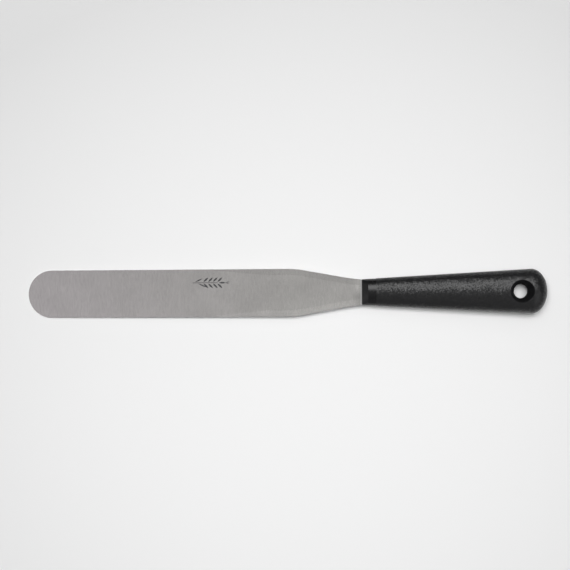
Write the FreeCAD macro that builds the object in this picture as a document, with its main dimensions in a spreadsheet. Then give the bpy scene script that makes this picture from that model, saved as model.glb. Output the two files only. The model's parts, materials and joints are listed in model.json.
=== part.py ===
import FreeCAD, Part
import math
import os
import Sketcher

# A baker's straight spatula: a flexible stainless blade whose tang is moulded into a black
# polypropylene handle. Both pieces are drawn in the tool's own frame, in millimetres: X runs from
# the blade's tip to the handle's end, X = 0 is the handle's front face, and Z = 0 is the mid-plane
# of the blade. The last step lays the tool on a table the way it rests by itself, on the underside
# of the tip and of the handle's fat end.

V = FreeCAD.Vector

DRIVING_SIZES = {
    # blade, seen from above
    "blade_length": 250.4,
    "blade_width": 35.5,
    "shoulder_radius": 67.0,
    "taper_angle": 10.3,
    "neck_width": 19.0,
    "neck_radius": 163.0,
    "neck_ease": 15.0,
    # blade, seen from the side
    "heel_thickness": 1.6,
    "middle_thickness": 0.96,
    "tip_thickness": 0.8,
    "grind_start": 72.0,
    "grind_middle": 118.0,
    "bevel_width": 4.5,
    "bevel_depth": 0.32,
    # tang, inside the handle
    "tang_length": 95.0,
    "tang_width": 13.0,
    "tang_corner": 3.0,
    "lock_hole_dia": 6.0,
    "lock_hole_first": 32.0,
    "lock_hole_pitch": 42.0,
    # handle: stations along X, then the section's width and thickness at each
    "nose_end": 4.6,
    "collar_end": 10.6,
    "dome_start": 126.0,
    "handle_length": 137.8,
    "nose_front_wide": 19.2,
    "nose_front_thick": 7.0,
    "nose_end_wide": 19.8,
    "nose_end_thick": 12.6,
    "collar_end_wide": 20.2,
    "collar_end_thick": 13.0,
    "grip_front_wide": 20.6,
    "grip_front_thick": 13.4,
    "dome_start_wide": 33.2,
    "dome_start_thick": 21.0,
    "nose_round": 0.4,
    # hanging hole, a straight bore between two funnels
    "hole_station": 118.0,
    "bore_dia": 10.6,
    "bore_length": 4.4,
    "mouth_dia": 17.8,
    "mouth_round": 0.4,
    # the table's depth under the blade's mid-plane at one station, where the handle rests on it
    "rest_station": 100.0,
    "rest_depth": 9.62,
    # how far a cutting shape reaches past the piece it cuts
    "overcut": 5.0,
}

DERIVED_SIZES = {
    "grind_end": "=blade_length + overcut",
    "grind_end_half": "=middle_thickness / 2 - (middle_thickness - tip_thickness) / 2"
    " * (grind_end - grind_middle) / (blade_length - grind_middle)",
    "grind_clear": "=heel_thickness / 2 + overcut",
    "hole_reach": "=dome_start_thick / 2 + overcut",
    "flare_radius": "=bore_dia / 2 + (mouth_dia - bore_dia)"
    " * (hole_reach - bore_length / 2) / (dome_start_thick - bore_length)",
    "rest_slope": "=(rest_depth - tip_thickness / 2) / (blade_length + rest_station)",
    "rest_end": "=handle_length + overcut",
    "rest_front_depth": "=rest_slope * blade_length + tip_thickness / 2",
    "rest_end_depth": "=rest_front_depth + rest_slope * rest_end",
    "rest_clear": "=rest_end_depth + overcut",
}

doc = FreeCAD.newDocument("spatula")


def make_sheet():
    """Every size, one per row, each with its name beside it as an alias."""
    sheet = doc.addObject("Spreadsheet::Sheet", "Sizes")
    for row, (name, value) in enumerate((DRIVING_SIZES | DERIVED_SIZES).items(), start=1):
        sheet.set(f"A{row}", name)
        sheet.set(f"B{row}", str(value))
        sheet.setAlias(f"B{row}", name)
    doc.recompute()
    return sheet


sheet = make_sheet()


def size(name):
    """A size, read back from the sheet."""
    return float(sheet.get(name))


# ---------------------------------------------------------------------------- sketching helpers


def new_body(label):
    body = doc.addObject("PartDesign::Body", label)
    body.Label = label
    return body


def origin_plane(body, role):
    return next(feature for feature in body.Origin.OriginFeatures if feature.Role == role)


def new_sketch(body, name, plane):
    """A sketch on one of the body's own origin planes."""
    sketch = body.newObject("Sketcher::SketchObject", name)
    sketch.AttachmentSupport = [(origin_plane(body, plane), "")]
    sketch.MapMode = "FlatFace"
    return sketch


def constrain(sketch, *definition):
    return sketch.addConstraint(Sketcher.Constraint(*definition))


def drive(sketch, name, expression, *definition):
    """Adds a dimension to the sketch, names it, and lets the sheet drive it."""
    sketch.renameConstraint(constrain(sketch, *definition), name)
    sketch.setExpression(f"Constraints.{name}", expression)


def add_line(sketch, start, end):
    return sketch.addGeometry(Part.LineSegment(V(*start), V(*end)), False)


def add_arc(sketch, centre, radius, from_degrees, to_degrees):
    """An arc that runs counterclockwise between two directions seen from its centre."""
    circle = Part.Circle(V(*centre), V(0, 0, 1), radius)
    ends = math.radians(from_degrees), math.radians(to_degrees)
    return sketch.addGeometry(Part.ArcOfCircle(circle, *ends), False)


def add_polygon(sketch, corners):
    """Closed straight-sided outline. Returns the number of its first side."""
    following = corners[1:] + corners[:1]
    sides = [add_line(sketch, start, end) for start, end in zip(corners, following)]
    for side, after in zip(sides, sides[1:] + sides[:1]):
        constrain(sketch, "Coincident", side, 2, after, 1)
    return sides[0]


def pad_both_ways(body, sketch, name, expression):
    pad = body.newObject("PartDesign::Pad", name)
    pad.Profile = sketch
    pad.Midplane = True
    pad.setExpression("Length", expression)
    doc.recompute()
    return pad


def cut_both_ways(body, sketch, name, expression):
    pocket = body.newObject("PartDesign::Pocket", name)
    pocket.Profile = sketch
    pocket.Midplane = True
    pocket.setExpression("Length", expression)
    return must_remove(body, pocket)


def must_remove(body, feature):
    """Recomputes a cut or rounding and makes sure that it changed the piece. The smallest cuts
    only show in the number of faces."""
    before = feature.BaseFeature.Shape
    doc.recompute()
    after = feature.Shape
    if after.Volume >= before.Volume and len(after.Faces) == len(before.Faces):
        raise RuntimeError(f"{body.Label}: {feature.Name} cut nothing")
    return feature


# ---------------------------------------------------------------------------------------- blade


def blade_half_outline(body):
    """The +Y half of the blade: round tip, long edge, shoulder, tapering neck."""
    length, half = size("blade_length"), size("blade_width") / 2
    neck, neck_radius, ease = size("neck_width") / 2, size("neck_radius"), size("neck_ease")
    shoulder, angle = size("shoulder_radius"), size("taper_angle")
    slope = math.radians(angle)
    end_slope = math.asin(math.sin(slope) - ease / neck_radius)
    waist_y = neck + neck_radius * (math.cos(end_slope) - math.cos(slope))
    turn_y = half - shoulder * (1 - math.cos(slope))
    turn_x = -ease - (turn_y - waist_y) / math.tan(slope)
    edge_x = turn_x - shoulder * math.sin(slope)
    neck_centre = (neck_radius * math.sin(slope) - ease, waist_y + neck_radius * math.cos(slope), 0)

    sketch = new_sketch(body, "BladeOutline", "XY_Plane")
    tip = add_arc(sketch, (half - length, 0, 0), half, 90, 180)
    edge = add_line(sketch, (half - length, half, 0), (edge_x, half, 0))
    turn = add_arc(sketch, (edge_x, half - shoulder, 0), shoulder, 90 - angle, 90)
    taper = add_line(sketch, (turn_x, turn_y, 0), (-ease, waist_y, 0))
    flare = add_arc(sketch, neck_centre, neck_radius, 270 - angle, 270 - math.degrees(end_slope))
    heel = add_line(sketch, (0, neck, 0), (0, 0, 0))
    axis = add_line(sketch, (0, 0, 0), (-length, 0, 0))
    constrain(sketch, "Tangent", tip, 1, edge, 1)
    constrain(sketch, "Tangent", edge, 2, turn, 2)
    constrain(sketch, "Tangent", turn, 1, taper, 1)
    constrain(sketch, "Tangent", taper, 2, flare, 1)
    constrain(sketch, "Coincident", flare, 2, heel, 1)
    constrain(sketch, "Coincident", heel, 2, axis, 1)
    constrain(sketch, "Coincident", axis, 2, tip, 2)
    constrain(sketch, "Coincident", heel, 2, -1, 1)
    constrain(sketch, "Horizontal", axis)
    constrain(sketch, "Vertical", heel)
    constrain(sketch, "Horizontal", edge)
    constrain(sketch, "PointOnObject", tip, 3, -1)
    drive(sketch, "length", "Sizes.blade_length", "Distance", axis, length)
    drive(sketch, "half_width", "Sizes.blade_width / 2", "Radius", tip, half)
    drive(sketch, "half_neck", "Sizes.neck_width / 2", "Distance", heel, neck)
    drive(sketch, "shoulder", "Sizes.shoulder_radius", "Radius", turn, shoulder)
    drive(sketch, "flare", "Sizes.neck_radius", "Radius", flare, neck_radius)
    drive(sketch, "ease", "Sizes.neck_ease", "DistanceX", taper, 2, heel, 1, ease)
    drive(sketch, "taper", "-Sizes.taper_angle * 1 deg", "Angle", taper, -slope)
    return sketch


def edges_where(shape, test):
    """The names of the shape's edges whose middle passes the test."""
    names = []
    for number, edge in enumerate(shape.Edges, start=1):
        middle = edge.valueAt((edge.FirstParameter + edge.LastParameter) / 2)
        if test(middle):
            names.append(f"Edge{number}")
    return names


def bevel_outline(body, slab):
    """A wide shallow bevel on both faces. From each face's round tip edge it follows the smooth
    chain of edges along both sides, down to the end of the neck."""
    slack = 0.01
    tip_end = size("blade_width") / 2 - size("blade_length")
    face = size("heel_thickness") / 2

    def is_tip_edge(middle):
        return abs(abs(middle.z) - face) < slack and middle.x < tip_end and middle.y > 0

    bevel = body.newObject("PartDesign::Chamfer", "Bevel")
    bevel.Base = (slab, edges_where(slab.Shape, is_tip_edge))
    bevel.ChamferType = "Two distances"
    bevel.setExpression("Size", "Sizes.bevel_width")
    bevel.setExpression("Size2", "Sizes.bevel_depth")
    return must_remove(body, bevel)


def grind_face(body, side):
    """Grinds one face from the heel's thickness down to the tip's. side is 1 above, -1 below."""
    name = "GrindAbove" if side > 0 else "GrindBelow"
    sign = "" if side > 0 else "-"
    heights = {
        "heel_z": "heel_thickness / 2",
        "middle_z": "middle_thickness / 2",
        "tip_z": "grind_end_half",
        "clear_z": "grind_clear",
    }
    start, halfway, reach = size("grind_start"), size("grind_middle"), size("grind_end")
    clear = side * size("grind_clear")
    sketch = new_sketch(body, name + "Profile", "XZ_Plane")
    corners = [
        (-start, side * size("heel_thickness") / 2, 0),
        (-halfway, side * size("middle_thickness") / 2, 0),
        (-reach, side * size("grind_end_half"), 0),
        (-reach, clear, 0),
        (-start, clear, 0),
    ]
    first = add_polygon(sketch, corners)
    constrain(sketch, "Vertical", first + 2)
    constrain(sketch, "Horizontal", first + 3)
    constrain(sketch, "Vertical", first + 4)
    for corner, (label, rule) in enumerate(heights.items(), start=first):
        dimension = (-1, 1, corner, 1, corners[corner - first][1])
        drive(sketch, label, f"{sign}Sizes.{rule}", "DistanceY", *dimension)
    for corner, station in enumerate(("grind_start", "grind_middle", "grind_end"), start=first):
        drive(sketch, station, f"Sizes.{station}", "DistanceX", corner, 1, -1, 1, size(station))
    return cut_both_ways(body, sketch, name, "Sizes.blade_width + Sizes.overcut")


def tang_profile(sketch):
    """The tang seen from above: a strip with a rounded far end and two holes that lock it."""
    length, half = size("tang_length"), size("tang_width") / 2
    corner, radius = size("tang_corner"), size("lock_hole_dia") / 2
    near = add_line(sketch, (0, half, 0), (0, -half, 0))
    lower = add_line(sketch, (0, -half, 0), (length - corner, -half, 0))
    low_turn = add_arc(sketch, (length - corner, corner - half, 0), corner, 270, 360)
    end = add_line(sketch, (length, corner - half, 0), (length, half - corner, 0))
    high_turn = add_arc(sketch, (length - corner, half - corner, 0), corner, 0, 90)
    upper = add_line(sketch, (length - corner, half, 0), (0, half, 0))
    constrain(sketch, "Coincident", near, 2, lower, 1)
    constrain(sketch, "Coincident", upper, 2, near, 1)
    for side, turn, after in ((lower, low_turn, end), (end, high_turn, upper)):
        constrain(sketch, "Tangent", side, 2, turn, 1)
        constrain(sketch, "Tangent", turn, 2, after, 1)
    constrain(sketch, "PointOnObject", near, 1, -2)
    constrain(sketch, "Symmetric", near, 1, near, 2, -1)
    constrain(sketch, "Horizontal", lower)
    constrain(sketch, "Horizontal", upper)
    constrain(sketch, "Equal", low_turn, high_turn)
    constrain(sketch, "Vertical", end)
    drive(sketch, "width", "Sizes.tang_width", "DistanceY", near, 2, near, 1, 2 * half)
    drive(sketch, "corner", "Sizes.tang_corner", "Radius", low_turn, corner)
    drive(sketch, "length", "Sizes.tang_length", "DistanceX", -1, 1, end, 1, length)
    for number in range(2):
        station = size("lock_hole_first") + number * size("lock_hole_pitch")
        circle = Part.Circle(V(station, 0, 0), V(0, 0, 1), radius)
        hole = sketch.addGeometry(circle, False)
        along = f"Sizes.lock_hole_first + {number} * Sizes.lock_hole_pitch"
        constrain(sketch, "PointOnObject", hole, 3, -1)
        drive(sketch, f"hole{number}", "Sizes.lock_hole_dia / 2", "Radius", hole, radius)
        drive(sketch, f"station{number}", along, "DistanceX", -1, 1, hole, 3, station)


def make_blade():
    body = new_body("blade")
    half_slab = pad_both_ways(body, blade_half_outline(body), "HalfSlab", "Sizes.heel_thickness")
    slab = body.newObject("PartDesign::Mirrored", "Slab")
    slab.Originals = [half_slab]
    slab.MirrorPlane = (origin_plane(body, "XZ_Plane"), [""])
    body.Tip = slab
    doc.recompute()
    bevel_outline(body, slab)
    for side in (1, -1):
        grind_face(body, side)
    tang = new_sketch(body, "TangProfile", "XY_Plane")
    tang_profile(tang)
    pad_both_ways(body, tang, "Tang", "Sizes.heel_thickness")
    return body


# --------------------------------------------------------------------------------------- handle


def section(body, station, profile):
    """An elliptical section of the handle, square to X. profile names its width and thickness."""
    wide, thick = size(profile + "_wide"), size(profile + "_thick")
    sketch = new_sketch(body, profile.title().replace("_", ""), "YZ_Plane")
    if station:
        sketch.setExpression("AttachmentOffset.Base.z", f"Sizes.{station}")
    ellipse = sketch.addGeometry(Part.Ellipse(V(0, 0, 0), wide / 2, thick / 2), False)
    sketch.exposeInternalGeometry(ellipse)
    across, upright = ellipse + 1, ellipse + 2
    constrain(sketch, "Coincident", ellipse, 3, -1, 1)
    constrain(sketch, "Horizontal", across)
    drive(sketch, "wide", f"Sizes.{profile}_wide", "Distance", across, wide)
    drive(sketch, "thick", f"Sizes.{profile}_thick", "Distance", upright, thick)
    return sketch


def loft(body, name, sections):
    """Plastic that runs straight from each section to the next."""
    solid = body.newObject("PartDesign::AdditiveLoft", name)
    solid.Profile = sections[0]
    solid.Sections = sections[1:]
    solid.Ruled = True
    doc.recompute()
    return solid


def add_dome(body):
    """The handle's rounded end: half an ellipsoid that carries on from the last section."""
    dome = body.newObject("PartDesign::AdditiveEllipsoid", "Dome")
    dome.AttachmentSupport = [(origin_plane(body, "YZ_Plane"), "")]
    dome.MapMode = "FlatFace"
    dome.setExpression("AttachmentOffset.Base.z", "Sizes.dome_start")
    dome.Angle1, dome.Angle2 = 0, 90
    dome.setExpression("Radius1", "Sizes.handle_length - Sizes.dome_start")
    dome.setExpression("Radius2", "Sizes.dome_start_wide / 2")
    dome.setExpression("Radius3", "Sizes.dome_start_thick / 2")
    doc.recompute()
    return dome


def cut_hanging_hole(body):
    """A straight bore between two funnels, square to the blade's mid-plane."""
    bore, land = size("bore_dia") / 2, size("bore_length") / 2
    flare, reach = size("flare_radius"), size("hole_reach")
    sketch = new_sketch(body, "HoleProfile", "XZ_Plane")
    sketch.setExpression("AttachmentOffset.Base.x", "Sizes.hole_station")
    corners = [
        (flare, -reach, 0),
        (bore, -land, 0),
        (bore, land, 0),
        (flare, reach, 0),
        (0, reach, 0),
        (0, -reach, 0),
    ]
    first = add_polygon(sketch, corners)
    wall, top, axis, bottom = first + 1, first + 3, first + 4, first + 5
    constrain(sketch, "Vertical", axis)
    constrain(sketch, "Horizontal", top)
    constrain(sketch, "Horizontal", bottom)
    constrain(sketch, "Symmetric", wall, 1, wall, 2, -1)
    constrain(sketch, "Symmetric", axis, 1, axis, 2, -1, 1)
    constrain(sketch, "Equal", top, bottom)
    drive(sketch, "bore", "Sizes.bore_dia / 2", "DistanceX", -1, 1, wall, 1, bore)
    drive(sketch, "land", "Sizes.bore_length", "Distance", wall, 2 * land)
    drive(sketch, "height", "2 * Sizes.hole_reach", "Distance", axis, 2 * reach)
    drive(sketch, "flare", "Sizes.flare_radius", "Distance", top, flare)
    hole = body.newObject("PartDesign::Groove", "HangingHole")
    hole.Profile = sketch
    hole.ReferenceAxis = (sketch, ["V_Axis"])
    hole.Angle = 360
    return must_remove(body, hole)


def cut_resting_flat(body):
    """A narrow flat along the belly just ahead of the hole, where the handle lies on a table."""
    front, end, clear = size("rest_front_depth"), size("rest_end_depth"), size("rest_clear")
    past = size("rest_end")
    sketch = new_sketch(body, "RestProfile", "XZ_Plane")
    table = add_polygon(sketch, [(0, -front, 0), (past, -end, 0), (past, -clear, 0), (0, -clear, 0)])
    constrain(sketch, "Vertical", table + 1)
    constrain(sketch, "Horizontal", table + 2)
    constrain(sketch, "Vertical", table + 3)
    constrain(sketch, "PointOnObject", table, 1, -2)
    drive(sketch, "reach", "Sizes.rest_end", "DistanceX", table, 1, table, 2, past)
    depths = {"rest_front_depth": table, "rest_end_depth": table + 1, "rest_clear": table + 2}
    for depth, corner in depths.items():
        drive(sketch, depth, f"Sizes.{depth}", "DistanceY", corner, 1, -1, 1, size(depth))
    return cut_both_ways(body, sketch, "RestingFlat", "Sizes.dome_start_wide")


def round_edges(body, name, test, expression):
    """A rounding along every edge of the body that passes the test."""
    base = body.Tip
    rounding = body.newObject("PartDesign::Fillet", name)
    rounding.Base = (base, edges_where(base.Shape, test))
    rounding.setExpression("Radius", expression)
    return must_remove(body, rounding)


def make_handle():
    body = new_body("handle")
    front = [
        section(body, "", "nose_front"),
        section(body, "nose_end", "nose_end"),
        section(body, "collar_end", "collar_end"),
    ]
    grip = [
        section(body, "collar_end", "grip_front"),
        section(body, "dome_start", "dome_start"),
    ]
    loft(body, "NoseAndCollar", front)
    loft(body, "Grip", grip)
    add_dome(body)
    cut_hanging_hole(body)

    cut_resting_flat(body)

    def on_front(middle):
        return middle.x < size("nose_round")

    def on_mouth(middle):
        """The rim of a funnel. It runs up to a tenth inside the mouth's circle at the sides, where
        the handle's surface falls away."""
        away = math.hypot(middle.x - size("hole_station"), middle.y)
        return abs(away / (size("mouth_dia") / 2) - 1) < 0.1


    round_edges(body, "FrontRound", on_front, "Sizes.nose_round")
    round_edges(body, "MouthRound", on_mouth, "Sizes.mouth_round")
    cavity = new_sketch(body, "CavityProfile", "XY_Plane")
    tang_profile(cavity)
    cut_both_ways(body, cavity, "TangCavity", "Sizes.heel_thickness")
    return body


# ------------------------------------------------------------------------------- lay it to rest


def rest_placement():
    """Tilts the tool so that the plane under its tip and its resting flat is level, at Z = 0, and
    puts the middle of its length over the origin."""
    tilt = FreeCAD.Rotation(V(0, 1, 0), -math.degrees(math.atan(size("rest_slope"))))
    tip_underside = tilt.multVec(V(-size("blade_length"), 0, -size("tip_thickness") / 2))
    middle = tilt.multVec(V((size("handle_length") - size("blade_length")) / 2, 0, 0))
    return FreeCAD.Placement(V(-middle.x, 0, -tip_underside.z), tilt)


def check(body):
    for item in [body] + body.Group:
        if "Invalid" in item.State or "Error" in item.State:
            raise RuntimeError(f"{body.Label}: {item.Name} is {item.State}")
    if body.Shape.isNull() or not body.Shape.isValid() or len(body.Shape.Solids) != 1:
        raise RuntimeError(f"{body.Label} is not one valid solid")


blade, handle = make_blade(), make_handle()
doc.recompute()
placement = rest_placement()
os.makedirs("parts", exist_ok=True)
for body in (blade, handle):
    body.Placement = placement
    doc.recompute()
    check(body)
    body.Shape.exportStep(f"parts/{body.Label}.step")
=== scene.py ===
import json
import math

import bmesh
import bpy
from mathutils import Matrix, Vector
from mathutils.bvhtree import BVHTree


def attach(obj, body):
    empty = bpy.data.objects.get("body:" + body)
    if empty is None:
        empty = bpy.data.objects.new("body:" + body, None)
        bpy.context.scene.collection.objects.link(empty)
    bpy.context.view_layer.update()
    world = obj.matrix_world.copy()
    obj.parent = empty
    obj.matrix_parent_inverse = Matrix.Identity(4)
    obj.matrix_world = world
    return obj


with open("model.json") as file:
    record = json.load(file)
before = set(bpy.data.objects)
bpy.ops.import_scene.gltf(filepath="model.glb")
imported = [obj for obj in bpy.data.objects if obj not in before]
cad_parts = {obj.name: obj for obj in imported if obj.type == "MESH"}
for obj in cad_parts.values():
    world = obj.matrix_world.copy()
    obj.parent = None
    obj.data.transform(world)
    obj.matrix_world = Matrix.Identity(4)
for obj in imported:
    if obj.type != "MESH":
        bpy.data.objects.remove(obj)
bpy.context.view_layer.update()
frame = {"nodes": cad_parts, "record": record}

# A straight icing spatula lying on a pale table, seen from straight above. Everything is in
# metres in the row's frame: -X to the blade's tip, +X to the handle's end, Z = 0 on the table.

MM = 0.001

# ------------------------------------------------------------------------- the tool's own axes
# The tool rests slightly tilted. The hanging hole's mount gives its upright axis, and the tool's
# own X starts at the handle's front face, as in the CAD model: the blade lies at negative X.

hole = next(m for m in frame["record"]["mounts"] if m["name"] == "hanging_hole")
UP = Vector(hole["axis"]).normalized()
ACROSS = Vector((0, 1, 0))
ALONG = ACROSS.cross(UP)
HOLE_STATION = 118.0 * MM
FRONT = Vector(hole["pos_m"]) - HOLE_STATION * ALONG


def tool_point(x, y, z):
    """A point given in the tool's own axes, in the row's frame."""
    return FRONT + x * ALONG + y * ACROSS + z * UP


# ------------------------------------------------------------------------------- shader helpers


class Nodes:
    """Adds nodes to a tree. Inputs given as sockets are linked, others are set."""

    def __init__(self, tree):
        self.tree = tree

    def node(self, kind, inputs=None, **settings):
        made = self.tree.nodes.new("ShaderNode" + kind)
        for name, value in settings.items():
            setattr(made, name, value)
        for key, value in (inputs or {}).items():
            self.feed(made.inputs[key], value)
        return made

    def feed(self, socket, value):
        if isinstance(value, bpy.types.NodeSocket):
            self.tree.links.new(value, socket)
        else:
            socket.default_value = value

    def math(self, operation, a, b=0.0, c=0.0):
        return self.node("Math", {0: a, 1: b, 2: c}, operation=operation).outputs[0]

    def vector(self, operation, a, b):
        return self.node("VectorMath", {0: a, 1: b}, operation=operation).outputs[0]

    def scaled(self, vector, factor):
        return self.node("VectorMath", {0: vector, "Scale": factor}, operation="SCALE").outputs[0]

    def along(self, vector, axis, start=(0.0, 0.0, 0.0)):
        """How far a position lies along an axis, from a starting point."""
        inputs = {0: self.vector("SUBTRACT", vector, start), 1: axis}
        return self.node("VectorMath", inputs, operation="DOT_PRODUCT").outputs["Value"]

    def noise(self, vector, scale, detail=2.0, roughness=0.5):
        inputs = {"Vector": vector, "Scale": scale, "Detail": detail, "Roughness": roughness}
        return self.node("TexNoise", inputs).outputs["Fac"]

    def stretched_noise(self, vector, density, roughness=0.5):
        """Noise with its own density along each axis, in cells a metre."""
        return self.noise(self.vector("MULTIPLY", vector, density), 1.0, 2.0, roughness)

    def remap(self, value, source, target, smooth=False):
        """Maps the source range, a pair, to the target range, and stays within it."""
        inputs = {
            "Value": value,
            "From Min": source[0],
            "From Max": source[1],
            "To Min": target[0],
            "To Max": target[1],
        }
        kind = "SMOOTHSTEP" if smooth else "LINEAR"
        return self.node("MapRange", inputs, interpolation_type=kind, clamp=True).outputs[0]

    def mix_colour(self, factor, first, second):
        """Colours are given as (red, green, blue) or as sockets."""
        ends = [(*end, 1) if isinstance(end, tuple) else end for end in (first, second)]
        inputs = {0: factor, 6: ends[0], 7: ends[1]}
        return self.node("Mix", inputs, data_type="RGBA").outputs[2]

    def weighted(self, *terms):
        """The sum of (weight, value) pairs."""
        total = 0.0
        for weight, value in terms:
            total = self.math("MULTIPLY_ADD", value, weight, total)
        return total

    def bump(self, height, distance):
        return self.node("Bump", {"Height": height, "Distance": distance}).outputs["Normal"]


class Shader(Nodes):
    """One material's nodes, around its Principled surface."""

    def __init__(self, name):
        self.material = bpy.data.materials.new(name)
        self.material.use_nodes = True
        super().__init__(self.material.node_tree)
        self.surface = self.tree.nodes["Principled BSDF"]

    def set(self, **inputs):
        for name, value in inputs.items():
            self.feed(self.surface.inputs[name.replace("_", " ")], value)

    def position(self):
        return self.node("TexCoord").outputs["Object"]

    def normal(self):
        return self.node("NewGeometry").outputs["Normal"]


def shaded(colour, share):
    return tuple(channel * share for channel in colour)


UNIT = (0.0, 1.0)
NOISE_SPREAD = (0.3, 0.7)

# ---------------------------------------------------------------------------------------- steel

STEEL_AT_TIP = (0.594, 0.562, 0.572)
STEEL_AT_HEEL = (0.662, 0.650, 0.625)
TIP_TO_HEEL = (-0.24, -0.05)
DARK_LINE = 0.91
LIGHT_LINE = 1.07

# Cells a metre, along the blade and then twice across it: high numbers make short cells.
FINE_LINES = (2000, 330, 330)
BROAD_LINES = (900, 170, 170)
CLOUDS = (45, 60, 60)
DRIFT = (14, 25, 25)

LINE_SPREAD = (0.32, 0.68)
LINE_DEPTH = 0.0015 * MM
STEEL_ROUGHNESS = (0.20, 0.24)
# Painted light and shade on the neck next to the handle: its +Y half lighter, its -Y half darker.
PAINTED_NECK_LENGTH = 9.0 * MM
PAINTED_NECK_HALF_WIDTH = 4.0 * MM
PAINTED_NECK_SHADES = (0.82, 1.2)
# A thin band along the handle's front: smoother steel with a painted highlight.
HIGHLIGHT_BAND = 1.0 * MM
HIGHLIGHT_FADE = 0.2 * MM
PAINTED_HIGHLIGHT_STEEL = (0.86, 0.86, 0.85)
POLISHED_SHARE_OF_ROUGHNESS = 0.3
LEAST_TANGENT = (0.2, 0, 0)


def steel_shade(steel, position, station, lines):
    """Light and dark lines, pinker at the tip. On the neck, painted light on +Y and shade on -Y.
    """
    drift = steel.stretched_noise(position, DRIFT)
    towards_heel = steel.weighted((0.8, steel.remap(station, TIP_TO_HEEL, UNIT)), (0.2, drift))
    ends = []
    for share in (DARK_LINE, LIGHT_LINE):
        tip, heel = shaded(STEEL_AT_TIP, share), shaded(STEEL_AT_HEEL, share)
        ends.append(steel.mix_colour(towards_heel, tip, heel))
    ground = steel.mix_colour(steel.remap(lines, LINE_SPREAD, UNIT), *ends)
    # Painted light and shade: the neck's +Y half brighter, its -Y half darker.
    near_handle = steel.remap(station, (-PAINTED_NECK_LENGTH, -HIGHLIGHT_BAND), UNIT, smooth=True)
    sideways = steel.along(position, ACROSS)
    painted_neck_width = (-PAINTED_NECK_HALF_WIDTH, PAINTED_NECK_HALF_WIDTH)
    side = steel.remap(sideways, painted_neck_width, PAINTED_NECK_SHADES, smooth=True)
    return steel.mix_colour(near_handle, ground, steel.scaled(ground, side))


def ground_steel():
    """Stainless steel ground across the blade: short fine lines along Y, a little cloudy, and
    smoother, with a painted highlight, in a thin band along the handle's front."""
    steel = Shader("blade_steel")
    position = steel.position()
    station = steel.along(position, ALONG, FRONT)
    fine = steel.stretched_noise(position, FINE_LINES, roughness=0.6)
    broad = steel.stretched_noise(position, BROAD_LINES)
    cloud = steel.stretched_noise(position, CLOUDS)
    lines = steel.weighted((0.45, fine), (0.35, broad), (0.2, cloud))
    shade = steel_shade(steel, position, station, lines)
    # The band along the handle's front: painted highlight colour and smoother steel.
    smooth_and_highlight = steel.remap(station, (-HIGHLIGHT_BAND - HIGHLIGHT_FADE, -HIGHLIGHT_BAND), UNIT)
    dull = steel.remap(cloud, NOISE_SPREAD, STEEL_ROUGHNESS)
    polish = steel.remap(smooth_and_highlight, UNIT, (1.0, POLISHED_SHARE_OF_ROUGHNESS))
    # The gloss spreads along the blade. On the upright edges the cross product alone is nothing.
    level = steel.node("VectorMath", {0: ACROSS, 1: steel.normal()}, operation="CROSS_PRODUCT")
    steel.set(
        Base_Color=steel.mix_colour(smooth_and_highlight, shade, PAINTED_HIGHLIGHT_STEEL),
        Metallic=1.0,
        Roughness=steel.math("MULTIPLY", dull, polish),
        Anisotropic=1.0,
        Tangent=steel.vector("ADD", level.outputs[0], LEAST_TANGENT),
        Normal=steel.bump(lines, LINE_DEPTH),
    )
    return steel.material


# -------------------------------------------------------------------------------------- plastic

PLASTIC_BLACK = (0.003, 0.003, 0.0035, 1)
GRAIN_START = (10.5 * MM, 10.9 * MM)
GRAINS_PER_METRE = 1720.0
GRAIN_TILT = 0.35
MOUTH_RIM = (8.4 * MM, 8.7 * MM)
SMOOTH_ROUGHNESS = 0.27
GRAIN_ROUGHNESS = 0.31
HOLE_ROUGHNESS = 0.7
SMUDGES_PER_METRE = 60.0
SMUDGE_ROUGHNESS = 0.06
HOLE_GLOSS = 0.24
SMOOTH_GLOSS = 0.43
GRIP_GLOSS = 0.07


def tilted_facets(plastic, position, share):
    """The surface's normal, turned a little another way on every grain."""
    grains = plastic.node("TexVoronoi", {"Vector": position, "Scale": GRAINS_PER_METRE})
    centred = plastic.vector("SUBTRACT", grains.outputs["Color"], (0.5, 0.5, 0.5))
    tilt = plastic.scaled(centred, plastic.math("MULTIPLY", share, GRAIN_TILT))
    facing = plastic.vector("ADD", plastic.normal(), tilt)
    return plastic.node("VectorMath", {0: facing}, operation="NORMALIZE").outputs[0]


def grained_plastic():
    """Black polypropylene: a spark-eroded grain on the grip; collar, nose and hole are smooth,
    and the hole's funnels are dull."""
    plastic = Shader("handle_plastic")
    position = plastic.position()
    station = plastic.along(position, ALONG, FRONT)
    squares = [
        (1.0, plastic.math("POWER", offset, 2.0))
        for offset in (
            plastic.math("SUBTRACT", station, HOLE_STATION),
            plastic.along(position, ACROSS),
        )
    ]
    from_hole = plastic.math("SQRT", plastic.weighted(*squares))
    outside = plastic.remap(from_hole, MOUTH_RIM, UNIT)
    grip = plastic.math("MULTIPLY", plastic.remap(station, GRAIN_START, UNIT), outside)
    skin = plastic.remap(grip, UNIT, (SMOOTH_ROUGHNESS, GRAIN_ROUGHNESS))
    funnel = plastic.remap(outside, UNIT, (HOLE_ROUGHNESS, 0.0))
    smudge = plastic.math("SUBTRACT", plastic.noise(position, SMUDGES_PER_METRE), 0.5)
    gloss = plastic.remap(outside, UNIT, (HOLE_GLOSS, SMOOTH_GLOSS))
    plastic.set(
        Base_Color=PLASTIC_BLACK,
        Roughness=plastic.weighted(
            (1.0, plastic.math("MAXIMUM", skin, funnel)), (SMUDGE_ROUGHNESS, smudge)
        ),
        Specular_IOR_Level=plastic.weighted((1.0, gloss), (GRIP_GLOSS, grip)),
        IOR=1.47,
        Normal=tilted_facets(plastic, position, grip),
    )
    return plastic.material


# ---------------------------------------------------------------------------- mark's steel, table

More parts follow.
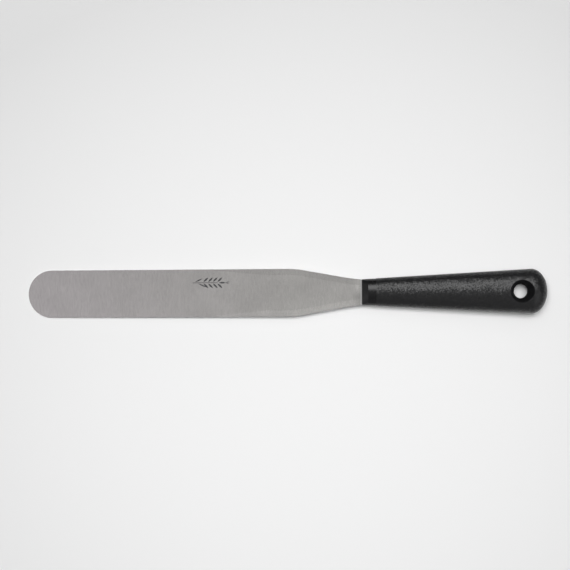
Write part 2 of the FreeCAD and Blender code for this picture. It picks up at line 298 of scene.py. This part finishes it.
ETCHED_DARK = (0.012, 0.012, 0.014)
ETCHED_LIGHT = (0.05, 0.05, 0.052)
ETCHED_CLOUDS_PER_METRE = 900.0
ETCHED_ROUGHNESS = (0.45, 0.6)


def etched_steel():
    """The dull dark grey of a mark etched into steel, slightly uneven."""
    etched = Shader("etched_steel")
    cloud = etched.noise(etched.position(), ETCHED_CLOUDS_PER_METRE)
    etched.set(
        Base_Color=etched.mix_colour(cloud, ETCHED_DARK, ETCHED_LIGHT),
        Metallic=0.2,
        Roughness=etched.remap(cloud, NOISE_SPREAD, ETCHED_ROUGHNESS),
    )
    return etched.material


# A painted pool of light on the table: brightest at one point, darker outwards.
PAPER_WHITE = (0.895, 0.895, 0.895)
PAINTED_LIGHT_CENTRE = (0.027, -0.20, 0.0)
PAINTED_LIGHT_AREA = 0.2
PAINTED_LIGHT_EDGE = 0.741


def table_paper():
    """Matt white paper with a painted pool of light: brightest in front of the tool, darker
    with the distance squared.
    """
    paper = Shader("table")
    inputs = {0: paper.position(), 1: PAINTED_LIGHT_CENTRE}
    distance = paper.node("VectorMath", inputs, operation="DISTANCE").outputs["Value"]
    square = paper.math("POWER", distance, 2.0)
    painted_light = paper.remap(square, (0.0, PAINTED_LIGHT_AREA), (1.0, PAINTED_LIGHT_EDGE))
    paper.set(
        Base_Color=paper.mix_colour(painted_light, (0.0, 0.0, 0.0), PAPER_WHITE),
        Roughness=0.9,
    )
    return paper.material


def give(node, material):
    """Puts the material in place of every one the CAD node came with."""
    for slot in frame["nodes"][node].material_slots:
        slot.material = material


give("blade", ground_steel())
give("handle", grained_plastic())

# --------------------------------------------------------------------------------- etched mark

EAR_START = -126.5 * MM
EAR_Y = 7.8 * MM
STALK_WIDTH = 0.4 * MM
LEAVES = ((1, 1.5 * MM), (-1, 4.0 * MM))
LEAF_LENGTH = 6.5 * MM
LEAF_WIDTH = 0.9 * MM
LEAF_LEAN = math.radians(24)
FIRST_GRAIN = -118.5 * MM
GRAIN_PAIRS = 4
GRAIN_SPACING = 3.5 * MM
GRAIN_LENGTH = 5.0 * MM
GRAIN_WIDTH = 1.35 * MM
GRAIN_LEAN = math.radians(44)
GRAIN_GAP = 0.55 * MM
BEARD_LENGTH = 4.0 * MM
BEARD_WIDTH = 0.3 * MM
BEARD_LEAN = math.radians(18)
BEARD_ROOT = 0.9 * GRAIN_LENGTH
PROUD = 0.012 * MM
SUNK = 0.03 * MM
WELL_ABOVE = 10 * MM

blade_surface = BVHTree.FromObject(frame["nodes"]["blade"], bpy.context.evaluated_depsgraph_get())


def on_blade(x, y, lift):
    """The point of the blade's upper face at tool station x and y, lifted by so much."""
    above = tool_point(x, y, WELL_ABOVE)
    hit = blade_surface.ray_cast(above, -UP)[0]
    return hit + lift * UP


def add_flake(mesh, outline):
    """A thin flat piece that follows the blade's face. outline is a list of (x, y) corners."""
    rings = []
    for lift in (-SUNK, PROUD):
        rings.append([mesh.verts.new(on_blade(x, y, lift)) for x, y in outline])
    low, high = rings
    mesh.faces.new(high)
    mesh.faces.new(list(reversed(low)))
    for here in range(len(outline)):
        after = (here + 1) % len(outline)
        mesh.faces.new((low[here], low[after], high[after], high[here]))


def strip(start, end, width):
    """A straight strip along X from start to end, as a list of corners."""
    low, high = EAR_Y - width / 2, EAR_Y + width / 2
    return [(start, low), (end, low), (end, high), (start, high)]


def pointed_oval(start, angle, length, width, steps=6):
    """An oval with two sharp ends that leaves start at that angle, as a list of corners."""
    corners = []
    for side in (1, -1):
        for step in range(steps):
            share = step / steps if side > 0 else 1 - step / steps
            along = share * length
            aside = side * width / 2 * math.sin(math.pi * share)
            x = start[0] + along * math.cos(angle) - aside * math.sin(angle)
            y = start[1] + along * math.sin(angle) + aside * math.cos(angle)
            corners.append((x, y))
    return corners


def ear_outlines():
    """The outlines of a small ear of wheat: a stalk, two leaves, pairs of grains and a beard."""
    last = FIRST_GRAIN + (GRAIN_PAIRS - 1) * GRAIN_SPACING
    yield strip(EAR_START, last, STALK_WIDTH)
    for side, start in LEAVES:
        root = (EAR_START + start, EAR_Y + side * GRAIN_GAP)
        yield pointed_oval(root, side * LEAF_LEAN, LEAF_LENGTH, LEAF_WIDTH)
    for pair in range(GRAIN_PAIRS):
        for side in (1, -1):
            root = (FIRST_GRAIN + pair * GRAIN_SPACING, EAR_Y + side * GRAIN_GAP)
            yield pointed_oval(root, side * GRAIN_LEAN, GRAIN_LENGTH, GRAIN_WIDTH)
    top_grain = last + 2 * GRAIN_GAP
    yield pointed_oval((top_grain, EAR_Y), 0, GRAIN_LENGTH, GRAIN_WIDTH)
    beard = top_grain + BEARD_ROOT
    for lean in (-BEARD_LEAN, 0, BEARD_LEAN):
        yield pointed_oval((beard, EAR_Y), lean, BEARD_LENGTH, BEARD_WIDTH)


def add_wheat_ear():
    mesh = bmesh.new()
    for outline in ear_outlines():
        add_flake(mesh, outline)
    bmesh.ops.recalc_face_normals(mesh, faces=mesh.faces)
    data = bpy.data.meshes.new("etched_ear")
    mesh.to_mesh(data)
    mesh.free()
    ear = bpy.data.objects.new("etched_ear", data)
    ear.data.materials.append(etched_steel())
    bpy.context.scene.collection.objects.link(ear)
    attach(ear, "root")


add_wheat_ear()

# ------------------------------------------------------------------------- table, light, camera

TABLE_SIZE = 3.0
TABLE_GAP = 0.02 * MM


def add_table():
    bpy.ops.mesh.primitive_plane_add(size=TABLE_SIZE, location=(0, 0, -TABLE_GAP))
    table = bpy.context.object
    table.name = "table"
    table.data.materials.append(table_paper())


# Lamps stand behind the tool, at +Y, and face its middle: name, elevation in degrees, size and
# radiance. The first three light the table; the last one shows only in the gloss.
TABLE_LAMPS = (
    ("key", 74, (1.2, 0.45), 9.8),
    ("top", 89, (1.2, 0.45), 6.4),
    ("fill", 55, (2.4, 1.2), 0.45),
)
GLOSS_LAMP = ("shine", 61, (1.7, 0.78), 4.7)
LAMP_DISTANCE = 1.6


def add_softbox(name, elevation, size, radiance):
    lamp = bpy.data.lights.new(name, "AREA")
    lamp.shape = "RECTANGLE"
    lamp.size, lamp.size_y = size
    lamp.energy = radiance * math.pi * lamp.size * lamp.size_y
    holder = bpy.data.objects.new(name, lamp)
    bpy.context.scene.collection.objects.link(holder)
    lean = Matrix.Rotation(math.radians(elevation - 90), 4, "X")
    holder.matrix_world = lean @ Matrix.Translation((0, 0, LAMP_DISTANCE))
    return holder


def add_lamps():
    for lamp in TABLE_LAMPS:
        add_softbox(*lamp).visible_glossy = False
    add_softbox(*GLOSS_LAMP).visible_diffuse = False


# The room's brightness by direction, a unit vector: z is 1 straight above the table.
CEILING = (0.03, 0.39)
CEILING_RISE = (0.2, 1.0)
CEILING_IN_FRONT = 0.6
CEILING_FRONT = (-0.7, -0.25)
WALLS_START = (0.12, 0.5)
WALL_RISE = (0.25, 0.65)
WALL_FOOT = 0.12
WALL_DEPTH = (-0.25, 0.2)
WALL_FRONT_TO_BACK = (1.02, 0.13)
LEFT_END = (-0.75, -0.55)
LEFT_END_LIGHT = 0.4
FRONT_WALL = (-0.9, -0.5)
FRONT_WALL_LIGHT = 0.3
BACKDROP = 0.75


def room_light(room):
    """A ceiling darkest at the horizon, pale walls to the left and right, and a dim front wall."""
    x, y, z = room.node("SeparateXYZ", {0: room.node("TexCoord").outputs["Generated"]}).outputs
    in_front = room.remap(y, CEILING_FRONT, (CEILING_IN_FRONT, 1.0), smooth=True)
    ceiling = room.math("MULTIPLY", room.remap(z, CEILING_RISE, CEILING), in_front)
    sideways = room.remap(room.math("ABSOLUTE", x), WALLS_START, UNIT, smooth=True)
    height = room.remap(z, WALL_RISE, (WALL_FOOT, 1.0), smooth=True)
    wall = room.math("MULTIPLY", height, room.remap(y, WALL_DEPTH, WALL_FRONT_TO_BACK))
    left_end = room.remap(x, LEFT_END, (LEFT_END_LIGHT, 0.0), smooth=True)
    walls = room.math("MULTIPLY", sideways, room.math("MAXIMUM", wall, left_end))
    front_wall = room.remap(y, FRONT_WALL, (FRONT_WALL_LIGHT, 0.0), smooth=True)
    return room.weighted((1.0, ceiling), (1.0, walls), (1.0, front_wall))


def add_studio():
    """The room shows in the gloss only. Looked at straight, it is an even pale backdrop."""
    world = bpy.data.worlds.new("studio")
    world.use_nodes = True
    room = Nodes(world.node_tree)
    looked_at = room.node("LightPath").outputs["Is Camera Ray"]
    light = room.node("Mix", {0: looked_at, 2: room_light(room), 3: BACKDROP}).outputs[0]
    room.feed(world.node_tree.nodes["Background"].inputs["Color"], light)
    bpy.context.scene.world = world
    world.cycles_visibility.diffuse = False


CAMERA_HEIGHT = 0.90
FIELD = 0.4294
CAMERA_X = -0.0011
CAMERA_Y = 0.00575
CAMERA_ROLL = math.radians(0.39)


def add_camera():
    """Straight above the middle, so that only the handle's height shows any perspective."""
    lens = bpy.data.cameras.new("camera")
    lens.lens = lens.sensor_width * CAMERA_HEIGHT / FIELD
    holder = bpy.data.objects.new("camera", lens)
    holder.location = (CAMERA_X, CAMERA_Y, CAMERA_HEIGHT)
    holder.rotation_euler = (0, 0, -CAMERA_ROLL)
    bpy.context.scene.collection.objects.link(holder)
    bpy.context.scene.camera = holder


add_table()
add_lamps()
add_studio()
add_camera()
bpy.context.scene.view_settings.view_transform = "Standard"
